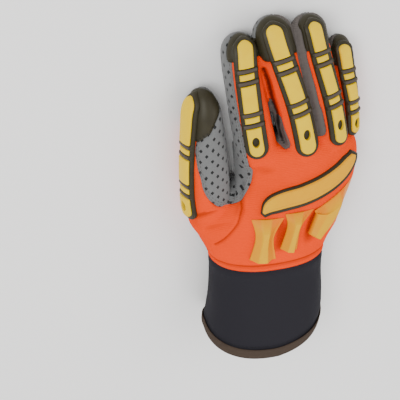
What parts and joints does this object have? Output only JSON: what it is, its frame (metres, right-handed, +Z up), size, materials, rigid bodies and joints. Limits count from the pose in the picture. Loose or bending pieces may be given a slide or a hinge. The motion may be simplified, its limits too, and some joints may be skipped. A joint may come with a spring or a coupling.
{
  "type": "impact work glove",
  "caption": "Right-hand knitted work glove with a neoprene cuff, moulded rubber impact guards over the fingers and knuckles, and a grip palm, lying palm down.",
  "frame": {"origin": "on the surface that the glove lies on, under the middle of its palm, on the underside of the grip patch", "axes": "+Z up from the surface, +Y from the cuff to the fingertips, +X to the little finger"},
  "size_m": [0.1364, 0.2848, 0.0603],
  "materials": {
    "orange_knit": "ribbed stretch knit, matt",
    "grey_suede": "matt synthetic suede with small black dots",
    "grey_knit": "matt stretch knit",
    "black_knit": "matt black stretch cloth",
    "neoprene": "smooth knit-faced foam, matt",
    "binding_tape": "narrow woven tape, matt",
    "black_webbing": "woven tape, slight sheen",
    "dark_rubber": "satin moulded rubber, dark olive",
    "yellow_rubber": "satin moulded rubber, yellow",
    "ochre_rubber": "satin moulded rubber, ochre yellow"
  },
  "bodies": {
    "root": {"back_panel": "orange_knit", "thumb_crotch_patch": "grey_suede", "palm_panel": "grey_suede", "palm_heel": "black_knit", "index_middle_side": "grey_knit", "middle_ring_side": "grey_knit", "ring_little_side": "grey_knit", "cuff": "neoprene", "cuff_binding": "binding_tape", "palm_grip_patch": "grey_suede", "pull_strap": "black_webbing", "knuckle_guard": "dark_rubber", "knuckle_guard_pad": "ochre_rubber", "first_bolster": "ochre_rubber", "second_bolster": "ochre_rubber", "third_bolster": "ochre_rubber", "thumb_cap": "dark_rubber", "thumb_guard": "dark_rubber", "thumb_knuckle_pad": "yellow_rubber", "thumb_lower_bar": "yellow_rubber", "thumb_middle_pad": "yellow_rubber", "thumb_upper_bar": "yellow_rubber", "thumb_tip_pad": "yellow_rubber", "index_cap": "dark_rubber", "index_guard": "dark_rubber", "index_knuckle_pad": "yellow_rubber", "index_lower_bar": "yellow_rubber", "index_middle_pad": "yellow_rubber", "index_upper_bar": "yellow_rubber", "index_tip_pad": "yellow_rubber", "middle_cap": "dark_rubber", "middle_guard": "dark_rubber", "middle_knuckle_pad": "yellow_rubber", "middle_lower_bar": "yellow_rubber", "middle_middle_pad": "yellow_rubber", "middle_upper_bar": "yellow_rubber", "middle_tip_pad": "yellow_rubber", "ring_cap": "dark_rubber", "ring_guard": "dark_rubber", "ring_knuckle_pad": "yellow_rubber", "ring_lower_bar": "yellow_rubber", "ring_middle_pad": "yellow_rubber", "ring_upper_bar": "yellow_rubber", "ring_tip_pad": "yellow_rubber", "little_cap": "dark_rubber", "little_guard": "dark_rubber", "little_knuckle_pad": "yellow_rubber", "little_lower_bar": "yellow_rubber", "little_middle_pad": "yellow_rubber", "little_upper_bar": "yellow_rubber", "little_tip_pad": "yellow_rubber"}
  },
  "joints": []
}
